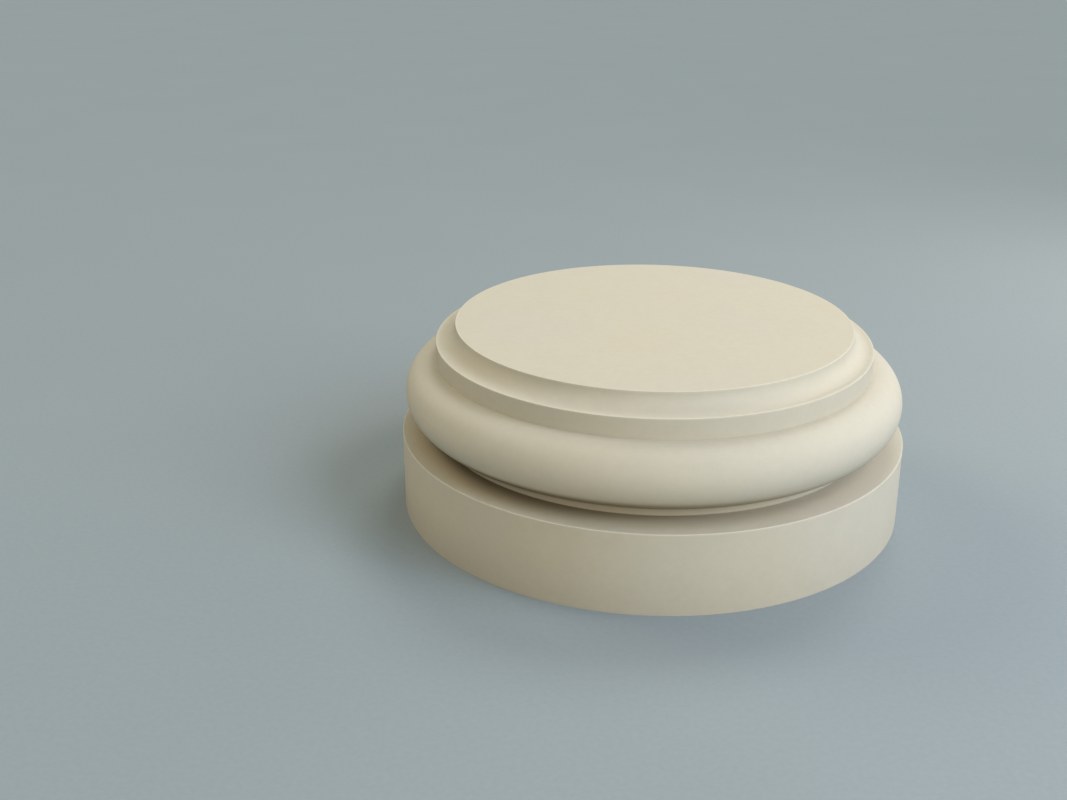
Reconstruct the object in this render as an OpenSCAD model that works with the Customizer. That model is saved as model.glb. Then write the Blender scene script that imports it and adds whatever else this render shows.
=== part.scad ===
// Round column base of the Tuscan kind, turned about the Z axis and cast in one piece.
// From the ground up: a drum-shaped plinth, a narrow foot fillet, a half-round torus,
// a broader neck fillet, and a cove that rises to the flat seat of the column's shaft.
// The origin is the middle of the underside, and the base stands up along +Z.
// Diameters grow outwards from the seat, so the whole base follows the shaft it is made for.

/* [Seat] */
// Diameter of the flat top that the column's shaft stands on
seat_d = 313; // [150:1:600]

/* [Cove] */
// Radius of the quarter-round hollow under the rim of the seat
cove_r = 13; // [5:0.5:40]
// Width of the flat ledge between the hollow and the edge of the neck fillet
cove_ledge_w = 2.5; // [2:0.5:10]

/* [Fillets] */
// Height of the plain band under the cove
neck_fillet_h = 15.5; // [4:0.5:60]
// Height of the narrow band between the torus and the plinth
foot_fillet_h = 8; // [2:0.5:40]

/* [Torus] */
// Height of the torus, a half-round that swells out from the face of the fillets
torus_h = 49; // [16:1:140]

/* [Plinth] */
// Height of the drum-shaped plinth
plinth_h = 62.5; // [20:0.5:200]
// How far the plinth stands out past the torus
plinth_reach = 3.5; // [0:0.5:60]

/* [Edges] */
// Radius of the small rounding on the upper edges; the underside is struck off flat and sharp
edge_r = 0.5; // [0.5:0.1:2]

/* [Hidden] */
$fn = 180;

// Radii, from the seat outwards
seat_r = seat_d / 2;
fillet_r = seat_r + cove_r + cove_ledge_w;
torus_r = torus_h / 2;
plinth_r = fillet_r + torus_r + plinth_reach;

// Heights, from the ground up
torus_foot_z = plinth_h + foot_fillet_h;
torus_z = torus_foot_z + torus_r;
neck_foot_z = torus_foot_z + torus_h;
cove_foot_z = neck_foot_z + neck_fillet_h;
rim_foot_z = cove_foot_z + cove_r;
seat_z = rim_foot_z + edge_r;

// How far a cutting shape runs past the corner that it takes off
overrun = 1;

// A plain course of the profile, from the axis out to a radius and between two heights
module course(radius, foot_z, top_z) {
    translate([0, foot_z])
        square([radius, top_z - foot_z]);
}

// What the rounding takes off an upper corner: a square less the circle that stays
module corner_trim(radius, corner_z) {
    translate([radius - edge_r, corner_z - edge_r])
        difference() {
            square(edge_r + overrun);
            circle(edge_r);
        }
}

// A course with its upper corner rounded
module rounded_course(radius, foot_z, top_z) {
    difference() {
        course(radius, foot_z, top_z);
        corner_trim(radius, top_z);
    }
}

// Both fillets share one face, and the torus is struck from a point on it
module torus_and_fillets_profile() {
    rounded_course(fillet_r, plinth_h, cove_foot_z);
    translate([fillet_r, torus_z])
        circle(torus_r);
}

// The hollow is a quarter circle struck from a point straight above its foot
module cove_profile() {
    difference() {
        course(seat_r + cove_r, cove_foot_z, rim_foot_z);
        translate([seat_r + cove_r, rim_foot_z])
            circle(cove_r);
    }
}

// The whole base is one casting, so the members of its profile are turned as one solid.
// The rim of the seat is a course of its own, one rounding high.
module column_base() {
    color([0.84, 0.81, 0.72])
        rotate_extrude()
            union() {
                rounded_course(plinth_r, 0, plinth_h);
                torus_and_fillets_profile();
                cove_profile();
                rounded_course(seat_r, rim_foot_z, seat_z);
            }
}

column_base();
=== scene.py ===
# %% [markdown]
# # A round column base in cast stone
#
# This is the foot of a Tuscan column: the course that spreads the load of a round shaft on to the
# ground. From the ground up it has a drum-shaped plinth, a narrow foot fillet, a fat half-round
# torus, a neck fillet, and a small cove that rises to the flat seat of the shaft. It is one
# casting, turned about the upright axis, so one profile describes all of it.
#
# The construction model gives the size. Here the same profile is drawn again as a fine, evenly
# stepped surface with true shading, and it gets the finish of smooth cast stone. All sizes are in
# metres, with Z up and the origin in the middle of the underside.

# %% Load the construction model
import math

import bpy
import numpy as np
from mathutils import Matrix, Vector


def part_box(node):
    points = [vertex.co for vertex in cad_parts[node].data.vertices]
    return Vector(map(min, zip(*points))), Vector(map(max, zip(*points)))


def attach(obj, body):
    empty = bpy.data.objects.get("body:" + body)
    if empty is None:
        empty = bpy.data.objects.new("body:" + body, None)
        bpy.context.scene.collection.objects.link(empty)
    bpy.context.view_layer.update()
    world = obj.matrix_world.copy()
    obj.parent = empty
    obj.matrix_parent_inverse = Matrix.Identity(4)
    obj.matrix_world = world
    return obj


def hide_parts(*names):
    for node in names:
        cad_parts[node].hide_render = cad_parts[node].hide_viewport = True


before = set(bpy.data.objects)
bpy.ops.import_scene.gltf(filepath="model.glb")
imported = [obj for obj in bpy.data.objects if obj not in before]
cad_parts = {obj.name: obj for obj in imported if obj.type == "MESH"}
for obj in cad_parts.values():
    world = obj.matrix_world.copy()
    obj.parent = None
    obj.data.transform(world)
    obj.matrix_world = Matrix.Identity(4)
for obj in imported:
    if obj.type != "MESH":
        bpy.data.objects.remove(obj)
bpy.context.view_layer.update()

base_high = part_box("column_base")[1]

# %% [markdown]
# ## The members of the profile
#
# A turner draws a base as a stack of members, each with one height or one radius. The plinth's
# radius is read from the construction model, and the members on it are named sizes, whose sum has
# to reach the height of the seat in the construction model. The torus is struck from a point on the
# face of the fillets, which share one radius, and every upper edge has the same small rounding, as
# a mould leaves it.

# %% Name the members
PLINTH_RADIUS = base_high.x
PLINTH_HEIGHT = 0.0625
PLINTH_REACH = 0.0035
FOOT_FILLET_HEIGHT = 0.0080
TORUS_RADIUS = 0.0245
NECK_FILLET_HEIGHT = 0.0155
COVE_RADIUS = 0.0130
COVE_LEDGE = 0.0025
EDGE_RADIUS = 0.0005

fillet_radius = PLINTH_RADIUS - PLINTH_REACH - TORUS_RADIUS
cove_foot_radius = fillet_radius - COVE_LEDGE
seat_radius = cove_foot_radius - COVE_RADIUS
torus_foot = PLINTH_HEIGHT + FOOT_FILLET_HEIGHT
torus_middle = torus_foot + TORUS_RADIUS
neck_foot = torus_middle + TORUS_RADIUS
cove_foot = neck_foot + NECK_FILLET_HEIGHT
cove_head = cove_foot + COVE_RADIUS
seat_height = cove_head + EDGE_RADIUS
print(f"seat: {2000 * seat_radius:.1f} mm across")
print(f"seat's height: {1000 * seat_height:.1f} mm, in the model {1000 * base_high.z:.1f} mm")

# %% [markdown]
# ## Straight runs and arcs
#
# The whole outline needs only two kinds of line: a straight run and an arc of a circle. Each is
# sampled as a row of points, and each point carries the direction in which the stone faces there.
# The direction is known exactly from the line itself, so the shading doesn't have to be guessed
# from the facets: flats stay flat right up to the edge, and creases stay sharp.


# %% Draw one run or one arc
END_STEPS = (0.0007, 0.0015, 0.0030)


def straight(start, end, steps):
    """Points at even steps from start to end, each a (radius, height) pair, and closer at the ends.

    The stone faces to the right of the way the line runs: turn the line's direction by a quarter.
    """
    length = np.linalg.norm(np.subtract(end, start))
    near_ends = [step / length for step in END_STEPS if step < length / 4]
    share = np.concatenate([np.linspace(0.0, 1.0, steps + 1), near_ends, 1 - np.array(near_ends)])
    share = np.unique(share.round(9))[:, None]
    points = (1 - share) * np.array(start) + share * np.array(end)
    along = np.subtract(end, start) / length
    facing = np.tile([along[1], -along[0]], (len(share), 1))
    return points, facing


def arc(centre, radius, first_degrees, last_degrees, steps, hollow=False):
    """Points on a circle: the centre plus radius times (cosine, sine) of an angle that turns evenly.

    On a round the stone faces away from the centre, and in a hollow it faces towards the centre.
    """
    angle = np.radians(np.linspace(first_degrees, last_degrees, steps + 1))
    outwards = np.stack([np.cos(angle), np.sin(angle)], axis=1)
    return np.array(centre) + radius * outwards, -outwards if hollow else outwards


# %% [markdown]
# ## The outline
#
# The outline starts at the axis under the base, goes out along the underside, up the outside and
# back to the axis along the seat. Curves get short steps, so that they look round from close up.
# Flats need only a few steps, and closer ones next to their ends, where wear, painted highlight and
# painted shade change fast.

# %% Draw the outline
ROUNDING_STEPS = 6
TORUS_STEPS = 44
COVE_STEPS = 14
FACE_STEPS = 8
SHELF_STEPS = 12
FILLET_STEPS = 4
LEDGE_STEPS = 1

inset = EDGE_RADIUS
runs = [
    straight((0.0, 0.0), (PLINTH_RADIUS, 0.0), FACE_STEPS),
    straight((PLINTH_RADIUS, 0.0), (PLINTH_RADIUS, PLINTH_HEIGHT - inset), FACE_STEPS),
    arc((PLINTH_RADIUS - inset, PLINTH_HEIGHT - inset), inset, 0, 90, ROUNDING_STEPS),
    straight((PLINTH_RADIUS - inset, PLINTH_HEIGHT), (fillet_radius, PLINTH_HEIGHT), SHELF_STEPS),
    straight((fillet_radius, PLINTH_HEIGHT), (fillet_radius, torus_foot), FILLET_STEPS),
    arc((fillet_radius, torus_middle), TORUS_RADIUS, -90, 90, TORUS_STEPS),
    straight((fillet_radius, neck_foot), (fillet_radius, cove_foot - inset), FILLET_STEPS),
    arc((fillet_radius - inset, cove_foot - inset), inset, 0, 90, ROUNDING_STEPS),
    straight((fillet_radius - inset, cove_foot), (cove_foot_radius, cove_foot), LEDGE_STEPS),
    arc((cove_foot_radius, cove_head), COVE_RADIUS, 270, 180, COVE_STEPS, hollow=True),
    arc((seat_radius - inset, cove_head), inset, 0, 90, ROUNDING_STEPS),
    straight((seat_radius - inset, seat_height), (0.0, seat_height), FACE_STEPS),
]

outline = np.concatenate([points[:-1] for points, _ in runs] + [runs[-1][0][-1:]])
facing_at_start = np.concatenate([facing[:-1] for _, facing in runs])
facing_at_end = np.concatenate([facing[1:] for _, facing in runs])
print("outline:", len(outline), "points in", len(runs), "runs")

# %% [markdown]
# ## Where the edges wear and get a painted highlight
#
# Rounded edges catch hands, tools and weather, so they end a touch paler than the faces, and the
# paler colour also stands in for the light that the roundings catch: it is partly wear and partly a
# painted highlight. The finish needs to know where they are. Each point of the outline gets a number
# that is 1 on the middle of a rounding and fades to 0 within two millimetres along the surface.

# %% Measure how near each point is to a rounded edge
# The edge number is partly wear and partly a painted highlight on the rounded edges.
WEAR_AND_HIGHLIGHT_REACH = 0.0008
ROUNDED_RUNS = [2, 7, 10]    # the places of the three roundings among the runs

along_outline = np.concatenate([[0.0], np.cumsum(np.linalg.norm(np.diff(outline, axis=0), axis=1))])
run_lengths = [len(points) - 1 for points, _ in runs]
run_starts = np.concatenate([[0], np.cumsum(run_lengths)])
edge_middles = np.array(
    [along_outline[run_starts[i] + run_lengths[i] // 2] for i in ROUNDED_RUNS]
)
distance_to_edge = np.abs(along_outline[:, None] - edge_middles).min(axis=1)
edge_wear_and_highlight = np.exp(-((distance_to_edge / WEAR_AND_HIGHLIGHT_REACH) ** 2))
print("rounded edges at radius, mm:", np.round(1000 * outline[run_starts[ROUNDED_RUNS], 0], 1))

# %% [markdown]
# ## Where the stone is sheltered
# The deep groove under the torus gets painted shade: its colour is darkened to stand in for the
# shade that falls under the torus. It is darkest on the shelf of the plinth for a few millimetres out
# from the foot fillet and then thins out. It also covers the fillet, and the torus from where its
# surface turns under. Each point of the outline gets a second number for this, from 0 in the open
# to 1 in the corner.
#
# The foot of the plinth is painted a little darker than the rest, as painted shade where it meets the
# floor. A third number is 1 at the ground and falls evenly to 0 four centimetres up. A fourth is for
# a warm yellow tint of painted shade that lies wherever there is more than a trace of the groove's
# shade, except on the upright face of the fillet, which gets none.

# %% Measure how sheltered each point is
# Painted shade: the groove under the torus is darkened in colour to stand in for its shade.
SHELF_SHADE_REACH = 0.0120
SHELF_SHADE_POWER = 1.5
FILLET_SHADE_REACH = 0.0100
FILLET_SHADE_MOST = 0.85
TURNS_UNDER_FROM = 30.0    # degrees below the level through the middle of the torus
TURNS_UNDER_TO = 47.0
# Painted shade at the foot of the plinth, darkest where it meets the floor.
FOOT_SHADE_REACH = 0.0400
# Painted shade gets a warm yellow tint wherever the groove's painted shade is more than a trace.
WARM_TINT_PER_SHADE = 5.0
TOUCHING = 1e-6

radius_at, height_at = outline[:, 0], outline[:, 1]
outside_fillet = np.clip(radius_at - fillet_radius, 0.0, None)
below_torus = np.clip(torus_foot - height_at, 0.0, None)
angle_under = np.degrees(np.arctan2(torus_middle - height_at, radius_at - fillet_radius))
turned_under = np.clip((angle_under - TURNS_UNDER_FROM) / (TURNS_UNDER_TO - TURNS_UNDER_FROM), 0, 1)

on_shelf = np.isclose(height_at, PLINTH_HEIGHT) & (radius_at > fillet_radius - TOUCHING)
on_foot_fillet = np.isclose(radius_at, fillet_radius) & (height_at < torus_foot - TOUCHING)
on_torus_side = (height_at > torus_foot - TOUCHING) & (height_at < torus_middle)
fillet_shade = FILLET_SHADE_MOST * np.exp(-below_torus / FILLET_SHADE_REACH)
shelf_shade = np.exp(-((outside_fillet / SHELF_SHADE_REACH) ** SHELF_SHADE_POWER))
torus_shade = turned_under**2 * (3 - 2 * turned_under)    # a smooth step from 0 to 1
painted_groove_shade = np.where(on_foot_fillet, fillet_shade, 0.0)
painted_groove_shade = np.where(on_shelf, shelf_shade, painted_groove_shade)
painted_groove_shade = np.where(on_torus_side, torus_shade, painted_groove_shade)

on_plinth_side = np.isclose(radius_at, PLINTH_RADIUS) & (height_at < FOOT_SHADE_REACH)
painted_foot_shade = np.where(on_plinth_side, 1 - height_at / FOOT_SHADE_REACH, 0.0)

warm_shade_tint = np.where(on_foot_fillet, 0.0, np.clip(WARM_TINT_PER_SHADE * painted_groove_shade, 0.0, 1.0))
print("sheltered points:", int((painted_groove_shade > 0.05).sum()), "of", len(painted_groove_shade))
print("splashed points: ", int((painted_foot_shade > 0.05).sum()), "of", len(painted_foot_shade))

# %% [markdown]
# ## Turning the outline into a solid
#
# A potter or a plasterer would now spin this outline round the axis, and so do the next three
# functions. The grid has one row for each outline point and one column for each step round the
# axis. The two ends of the outline lie on the axis and become single points with a fan of
# triangles, so the surface is closed. The facings found above are turned in the same way, and are
# set for every corner of every facet.


# %% Number the corners of the facets
def facets_round(ring_count, steps):
    """Corner numbers of a turned surface's facets: quads between rings, and a fan at each end.

    Point 0 is the foot of the axis. Then come the rings from the underside to the seat, each with
    one point for each step round the axis, and the last point is the head of the axis.
    """
    here = np.arange(steps)
    following = (here + 1) % steps
    first = 1 + steps * np.arange(ring_count)[:, None]
    quads = np.stack(
        [first[:-1] + here, first[:-1] + following, first[1:] + following, first[1:] + here],
        axis=-1,
    ).reshape(-1, 4)
    tip = 1 + steps * ring_count
    under_fan = np.stack([0 * here, 1 + following, 1 + here], axis=-1)
    seat_fan = np.stack([first[-1] + here, first[-1] + following, tip + 0 * here], axis=-1)
    return quads.tolist() + under_fan.tolist() + seat_fan.tolist()


# %% Carry the facings round the axis
def facings_round(facing_at_start, facing_at_end, angle):
    """The way that every corner of every facet faces, in the order of the facets.

    A facing (outwards, upwards) at angle a is (outwards cos a, outwards sin a, upwards).
    """
    steps = len(angle)
    here = np.arange(steps)
    following = (here + 1) % steps
    cosine, sine = np.cos(angle), np.sin(angle)

    def turned(facing, step):
        out, up = facing[:, 0, None], facing[:, 1, None]
        return np.stack([out * cosine[step], out * sine[step], up + 0 * cosine[step]], axis=-1)

    start, end = facing_at_start[1:-1], facing_at_end[1:-1]
    quads = np.stack(
        [turned(start, here), turned(start, following), turned(end, following), turned(end, here)],
        axis=2,
    ).reshape(-1, 3)
    down = np.tile([0.0, 0.0, -1.0], (3 * steps, 1))
    up = np.tile([0.0, 0.0, 1.0], (3 * steps, 1))
    return np.concatenate([quads, down, up]).tolist()


# %% Spin the outline
def turned_surface(name, outline, facing_at_start, facing_at_end, steps):
    """A closed surface of revolution about Z.

    A point at (radius, height) and angle a lies at (radius cos a, radius sin a, height).
    """
    angle = np.arange(steps) * (2 * np.pi / steps)
    cosine, sine = np.cos(angle), np.sin(angle)
    radius, height = outline[1:-1, 0, None], outline[1:-1, 1, None]
    rings = np.stack([radius * cosine, radius * sine, height + 0 * cosine], axis=-1)
    foot = np.array([[0.0, 0.0, outline[0, 1]]])
    head = np.array([[0.0, 0.0, outline[-1, 1]]])
    points = np.concatenate([foot, rings.reshape(-1, 3), head])

    mesh = bpy.data.meshes.new(name)
    mesh.from_pydata(points.tolist(), [], facets_round(len(outline) - 2, steps))
    mesh.polygons.foreach_set("use_smooth", np.ones(len(mesh.polygons), bool))
    mesh.normals_split_custom_set(facings_round(facing_at_start, facing_at_end, angle))
    mesh.update()
    piece = bpy.data.objects.new(name, mesh)
    bpy.context.scene.collection.objects.link(piece)
    return piece


STEPS_ROUND = 600
column_base = turned_surface(
    "column_base_stone", outline, facing_at_start, facing_at_end, STEPS_ROUND
)
facets = len(column_base.data.polygons)
print("turned surface:", facets, "facets, round steps of",
      round(2000 * math.pi * PLINTH_RADIUS / STEPS_ROUND, 2), "mm at the plinth")

# %% [markdown]
# Wear and the painted highlight go evenly round the base, but the painted shade doesn't. The
# painted shade in the groove is darkest on the left, the shadow side, it is nearly half gone at the
# front and the back, and the right of the groove gets none. Its warm tint goes with it, and the
# painted shade at the foot also gets fainter from left to right. So these numbers are multiplied by
# shares that follow the cosine of the angle round the axis.

# %% Store the four numbers on the surface
# Painted shade: darkest on the left, the shadow side, and none on the right of the groove.
SHADE_SPREAD = 1.2
# Painted shade at the foot: darkest on the left, palest on the right.
FOOT_SHADE_MIDDLE = 0.65
FOOT_SHADE_SWING = 0.35

angle_round = np.arange(STEPS_ROUND) * (2 * np.pi / STEPS_ROUND)
painted_shade_round = np.clip(SHADE_SPREAD * (0.5 - 0.5 * np.cos(angle_round)), 0.0, 1.0)
foot_shade_round = FOOT_SHADE_MIDDLE - FOOT_SHADE_SWING * np.cos(angle_round)
evenly_round = np.ones(STEPS_ROUND)
for layer_name, along, around in (
    ("edge_wear_and_highlight", edge_wear_and_highlight, evenly_round),
    ("groove_shade", painted_groove_shade, painted_shade_round),
    ("warm_shade", warm_shade_tint, painted_shade_round),
    ("foot_shade", painted_foot_shade, foot_shade_round),
):
    on_rings = (along[1:-1, None] * around).ravel()
    everywhere = np.concatenate([along[:1], on_rings, along[-1:]]).astype(np.float32)
    layer = column_base.data.attributes.new(layer_name, "FLOAT", "POINT")
    layer.data.foreach_set("value", everywhere)
left_front_right = [STEPS_ROUND // 2, 3 * STEPS_ROUND // 4, 0]
print("grime at left, front and right: ", painted_shade_round[left_front_right].round(2))
print("splash at left, front and right:", foot_shade_round[left_front_right].round(2))

# %% [markdown]
# ## The cast stone
#
# Cast stone is a fine semi-dry concrete of crushed limestone and pale cement, rammed into a mould
# and rubbed smooth. It is matte and warm cream all over. Close up the colour is a little cloudy,
# with sand grains a bit darker and lighter than the cement between them, and the surface has the
# tooth of very fine sandpaper. All of it is made from noise in the object's own coordinates, so
# the grain runs through the stone and doesn't stretch over the curves.


# %% Helpers for procedural finishes
NOISE_LOW, NOISE_HIGH = 0.3, 0.7    # soft noise lies nearly all between these


def add_node(nodes, kind, **values):
    """A new node of that kind, with its settings and its unlinked inputs given by name."""
    node = nodes.new(kind)
    for key, value in values.items():
        if key.startswith("in_"):
            node.inputs[key[3:].replace("_", " ")].default_value = value
        else:
            setattr(node, key, value)
    return node


def patches(nodes, links, place, per_metre, lowest, highest, detail=2.0):
    """Soft noise with so many patches to the metre, spread between the two values."""
    noise = add_node(nodes, "ShaderNodeTexNoise", in_Scale=per_metre, in_Detail=detail)
    spread = add_node(
        nodes,
        "ShaderNodeMapRange",
        in_From_Min=NOISE_LOW,
        in_From_Max=NOISE_HIGH,
        in_To_Min=lowest,
        in_To_Max=highest,
    )
    links.new(place, noise.inputs["Vector"])
    links.new(noise.outputs["Fac"], spread.inputs["Value"])
    return spread.outputs["Result"]


def varied(nodes, links, place, per_metre, tone, detail=2.0):
    """Patches whose values lie that much above and below 1, to multiply a colour by."""
    return patches(nodes, links, place, per_metre, 1 - tone, 1 + tone, detail)


def blended(nodes, links, share, first, second):
    """The first colour where the share is 0, and the second where it is 1."""
    mix = add_node(nodes, "ShaderNodeMix", data_type="RGBA")
    share_in, first_in, second_in = [socket for socket in mix.inputs if socket.enabled]
    links.new(share, share_in)
    for socket, colour in ((first_in, first), (second_in, second)):
        if isinstance(colour, tuple):
            socket.default_value = colour
        else:
            links.new(colour, socket)
    return next(socket for socket in mix.outputs if socket.enabled)


def shaded(nodes, links, colour, factor):
    """The colour with its red, green and blue all multiplied by the factor."""
    scale = add_node(nodes, "ShaderNodeVectorMath", operation="SCALE")
    links.new(colour, scale.inputs[0])
    links.new(factor, scale.inputs["Scale"])
    return scale.outputs["Vector"]


# %% [markdown]
# The colour is built in layers. Broad clouds mix a yellower cream with a greyer one, because no
# two batches of the mix dry alike. The rounded edges go a little paler, partly where handling has
# rubbed the skin of cement off the sand and partly as a painted highlight, and the foot of the
# plinth gets painted shade, a little darker. In the groove a warm yellow tint of painted shade comes
# first, and brown painted shade lies over it in the amount stored on the surface. Blotches the size
# of a fingertip, mottles the size of a pea and sand grain then make it all lighter and darker by one
# or two hundredths. The grain also gives the surface its relief, a few hundredths of a millimetre,
# and blotches of the same size as those of the colour make it slightly more or less dull.

# %% Mix the cast stone
YELLOW_CREAM = (0.419, 0.380, 0.284, 1.0)
GREY_CREAM = (0.408, 0.378, 0.297, 1.0)
# Paler edge colour: partly rubbed wear, partly a painted highlight.
RUBBED_HIGHLIGHT_CREAM = (0.460, 0.425, 0.330, 1.0)
# Painted shade at the foot of the plinth.
FOOT_SHADE_CREAM = (0.335, 0.307, 0.235, 1.0)
# Warm yellow tint of the painted shade in the groove.
WARM_SHADE_YELLOW = (0.424, 0.360, 0.238, 1.0)
# Painted shade in the groove under the torus.
SHADE_BROWN = (0.108, 0.085, 0.046, 1.0)
CLOUDS_PER_METRE = 9.0
BLOTCHES_PER_METRE = 60.0
MOTTLES_PER_METRE = 180.0
GRAINS_PER_METRE = 1300.0
BLOTCH_TONE = 0.012
MOTTLE_TONE = 0.016
GRAIN_TONE = 0.020
GRAIN_RELIEF = 0.00004
GRAIN_RELIEF_STRENGTH = 0.5
LEAST_DULL = 0.64
MOST_DULL = 0.76
STONE_SHEEN = 0.3


def cast_stone():
    """Matte cream stone in clouds of two creams, edges paler from wear and painted highlight, painted
    shade in the groove.
    """
    material = bpy.data.materials.new("cream_cast_stone")
    material.use_nodes = True
    nodes, links = material.node_tree.nodes, material.node_tree.links
    nodes.clear()
    place = add_node(nodes, "ShaderNodeTexCoord").outputs["Object"]
    clouds = patches(nodes, links, place, CLOUDS_PER_METRE, 0.0, 1.0)
    blotches = varied(nodes, links, place, BLOTCHES_PER_METRE, BLOTCH_TONE)
    mottles = varied(nodes, links, place, MOTTLES_PER_METRE, MOTTLE_TONE, detail=3.0)
    grain = varied(nodes, links, place, GRAINS_PER_METRE, GRAIN_TONE, detail=1.0)
    wear_and_highlight = add_node(nodes, "ShaderNodeAttribute", attribute_name="edge_wear_and_highlight").outputs["Fac"]
    groove_shade = add_node(nodes, "ShaderNodeAttribute", attribute_name="groove_shade").outputs["Fac"]
    warm_shade = add_node(nodes, "ShaderNodeAttribute", attribute_name="warm_shade").outputs["Fac"]
    foot_shade = add_node(nodes, "ShaderNodeAttribute", attribute_name="foot_shade").outputs["Fac"]

    cream = blended(nodes, links, clouds, YELLOW_CREAM, GREY_CREAM)
    # Next: edges paler from wear and painted highlight, then painted shade at the foot and in the groove.
    cream = blended(nodes, links, wear_and_highlight, cream, RUBBED_HIGHLIGHT_CREAM)
    cream = blended(nodes, links, foot_shade, cream, FOOT_SHADE_CREAM)
    cream = blended(nodes, links, warm_shade, cream, WARM_SHADE_YELLOW)
    cream = blended(nodes, links, groove_shade, cream, SHADE_BROWN)
    cream = shaded(nodes, links, cream, blotches)
    cream = shaded(nodes, links, cream, mottles)
    cream = shaded(nodes, links, cream, grain)
    dullness = patches(nodes, links, place, BLOTCHES_PER_METRE, LEAST_DULL, MOST_DULL)
    relief = add_node(
        nodes, "ShaderNodeBump", in_Strength=GRAIN_RELIEF_STRENGTH, in_Distance=GRAIN_RELIEF
    )
    links.new(grain, relief.inputs["Height"])

    shader = add_node(nodes, "ShaderNodeBsdfPrincipled")
    shader.inputs["Specular IOR Level"].default_value = STONE_SHEEN
    links.new(cream, shader.inputs["Base Color"])
    links.new(dullness, shader.inputs["Roughness"])
    links.new(relief.outputs["Normal"], shader.inputs["Normal"])
    output = add_node(nodes, "ShaderNodeOutputMaterial")
    links.new(shader.outputs["BSDF"], output.inputs["Surface"])
    print("finish:", material.name, "with", len(nodes), "nodes")
    return material


column_base.data.materials.append(cast_stone())

# %% Put the stone in the frame
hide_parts("column_base")
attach(column_base, "root")

# %% [markdown]
# ## The floor
#
# The base stands on a sheet of pale blue-grey paper. It is dead matte, with only the faint
# cloudiness of real paper, and so wide that its edge is as far off as a horizon. A soft floor like
# this shows how dark the contact shadow is, and it throws a little cool light back on to the
# plinth.

# %% Lay the floor
PAPER_LIGHT = (0.216, 0.248, 0.252, 1.0)
PAPER_DARK = (0.212, 0.244, 0.248, 1.0)
PAPER_CLOUDS_PER_METRE = 5.0
FIBRES_PER_METRE = 260.0
FIBRE_TONE = 0.025
PAPER_DULLNESS = 0.9
FLOOR_HALF_WIDTH = 12.0


def paper():
    """Matte blue-grey paper, a mix of two nearly equal greys in broad clouds."""
    material = bpy.data.materials.new("floor_paper")
    material.use_nodes = True
    nodes, links = material.node_tree.nodes, material.node_tree.links
    place = add_node(nodes, "ShaderNodeTexCoord").outputs["Object"]
    clouds = patches(nodes, links, place, PAPER_CLOUDS_PER_METRE, 0.0, 1.0)
    fibres = varied(nodes, links, place, FIBRES_PER_METRE, FIBRE_TONE, detail=4.0)
    grey = blended(nodes, links, clouds, PAPER_LIGHT, PAPER_DARK)
    shader = nodes["Principled BSDF"]
    shader.inputs["Roughness"].default_value = PAPER_DULLNESS
    shader.inputs["Specular IOR Level"].default_value = 0.0
    links.new(shaded(nodes, links, grey, fibres), shader.inputs["Base Color"])
    return material


reach = FLOOR_HALF_WIDTH
floor_mesh = bpy.data.meshes.new("floor")
floor_mesh.from_pydata(
    [(-reach, -reach, 0.0), (reach, -reach, 0.0), (reach, reach, 0.0), (-reach, reach, 0.0)],
    [],
    [(0, 1, 2, 3)],
)
floor_mesh.materials.append(paper())
floor = bpy.data.objects.new("floor", floor_mesh)
bpy.context.scene.collection.objects.link(floor)
print("floor:", 2 * reach, "m square")

# %% [markdown]
# ## The light
#
# The room is a grey studio with large soft windows. The strongest is bluish and stands at the
# front right, so the right of the torus is the brightest of the sides. A warmer one lights the
# front, two high ones light the seat from the right and from behind, and a warm one at the back
# left keeps the shaded side cream. Each window is a sun lamp with a wide disc, which has soft
# shadows and the same strength everywhere. Two round soft boxes stand close by on the right, one
# towards the front and one towards the back, and they make that side of the floor paler.


# %% Hang the lamps
def soft_sun(name, colour, strength, bearing, height, spread=32.0):
    """A sun whose disc is spread degrees wide.

    The bearing is where the light comes from, in degrees turned from the object's right towards
    its back, and the height is in degrees above the floor.
    """
    lamp = bpy.data.lights.new(name, "SUN")
    lamp.color = colour
    lamp.energy = strength
    lamp.angle = math.radians(spread)
    holder = bpy.data.objects.new(name, lamp)
    holder.rotation_euler = (math.radians(90 - height), 0.0, math.radians(bearing + 90))
    bpy.context.scene.collection.objects.link(holder)
    return holder


def soft_box(name, colour, watts, bearing, height, distance, width):
    """A round lamp of that width, at that distance from the object and facing it."""
    lamp = bpy.data.lights.new(name, "AREA")
    lamp.shape = "DISK"
    lamp.color = colour
    lamp.energy = watts
    lamp.size = width
    holder = bpy.data.objects.new(name, lamp)
    turn, lift = math.radians(bearing), math.radians(height)
    holder.location = (
        distance * math.cos(turn) * math.cos(lift),
        distance * math.sin(turn) * math.cos(lift),
        distance * math.sin(lift),
    )
    holder.rotation_euler = (math.radians(90 - height), 0.0, math.radians(bearing + 90))
    bpy.context.scene.collection.objects.link(holder)
    return holder


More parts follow.
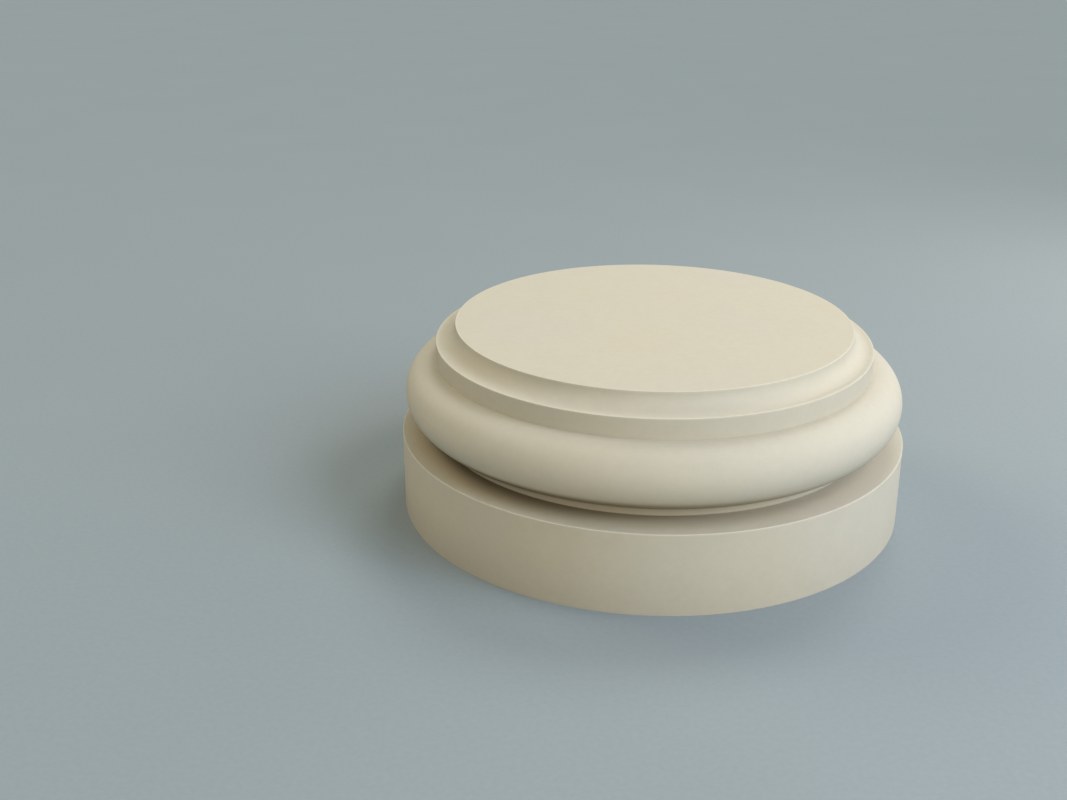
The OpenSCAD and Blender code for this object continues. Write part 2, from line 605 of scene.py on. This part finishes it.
soft_sun("front_right_window", (0.71, 0.82, 1.00), 1.74, bearing=330, height=32)
soft_sun("front_window", (1.00, 0.86, 0.70), 1.52, bearing=270, height=24, spread=22)
soft_sun("right_skylight", (0.97, 0.90, 1.00), 0.86, bearing=0, height=50, spread=22)
soft_sun("back_skylight", (0.98, 1.00, 0.96), 1.09, bearing=75, height=50, spread=22)
soft_sun("back_left_window", (1.00, 0.86, 0.67), 1.27, bearing=150, height=32)
soft_box("front_box", (0.68, 0.79, 1.00), 3.90, bearing=330, height=24, distance=1.1, width=0.4)
soft_box("back_box", (1.00, 0.88, 0.86), 4.65, bearing=30, height=30, distance=1.2, width=0.8)

# %% [markdown]
# The air of the room gives an even glow from all round. Its tone is close to that of the lit paper
# far away, so the line where the paper ends hardly shows.

# %% Fill the room with an even glow
ROOM_GLOW = (0.325, 0.374, 0.379, 1.0)

world = bpy.data.worlds.new("studio")
world.use_nodes = True
room = world.node_tree.nodes["Background"]
room.inputs["Color"].default_value = ROOM_GLOW
room.inputs["Strength"].default_value = 1.0
bpy.context.scene.world = world

# %% [markdown]
# ## The camera
#
# The camera stands about a metre from the axis and looks down on the base by twenty degrees, with
# a lens of normal length, so the seat is a wide oval and the nearest part of the plinth hangs low.
# It is turned a few degrees to the left of the axis, which puts the base to the right of the
# middle. The distances are multiples of the plinth's radius, because that is what sets how strongly
# the ovals are foreshortened.

# %% Set up the camera
CAMERA_DISTANCE = 4.8571 * PLINTH_RADIUS
CAMERA_HEIGHT = 2.3532 * PLINTH_RADIUS
LOOK_DOWN_DEGREES = 20.06
LOOK_LEFT_DEGREES = 5.58
LENS_MM = 43.294
LENS_SHIFT = -0.0417
SENSOR_WIDTH_MM = 36.0

camera_data = bpy.data.cameras.new("camera")
camera_data.sensor_width = SENSOR_WIDTH_MM
camera_data.lens = LENS_MM
camera_data.shift_y = LENS_SHIFT
camera = bpy.data.objects.new("camera", camera_data)
camera.location = (0.0, -CAMERA_DISTANCE, CAMERA_HEIGHT)
camera.rotation_euler = (math.radians(90 - LOOK_DOWN_DEGREES), 0.0, math.radians(LOOK_LEFT_DEGREES))
bpy.context.scene.collection.objects.link(camera)
bpy.context.scene.camera = camera
bpy.context.scene.view_settings.view_transform = "Standard"
print("camera:", round(CAMERA_DISTANCE, 3), "m out and", round(CAMERA_HEIGHT, 3), "m up")
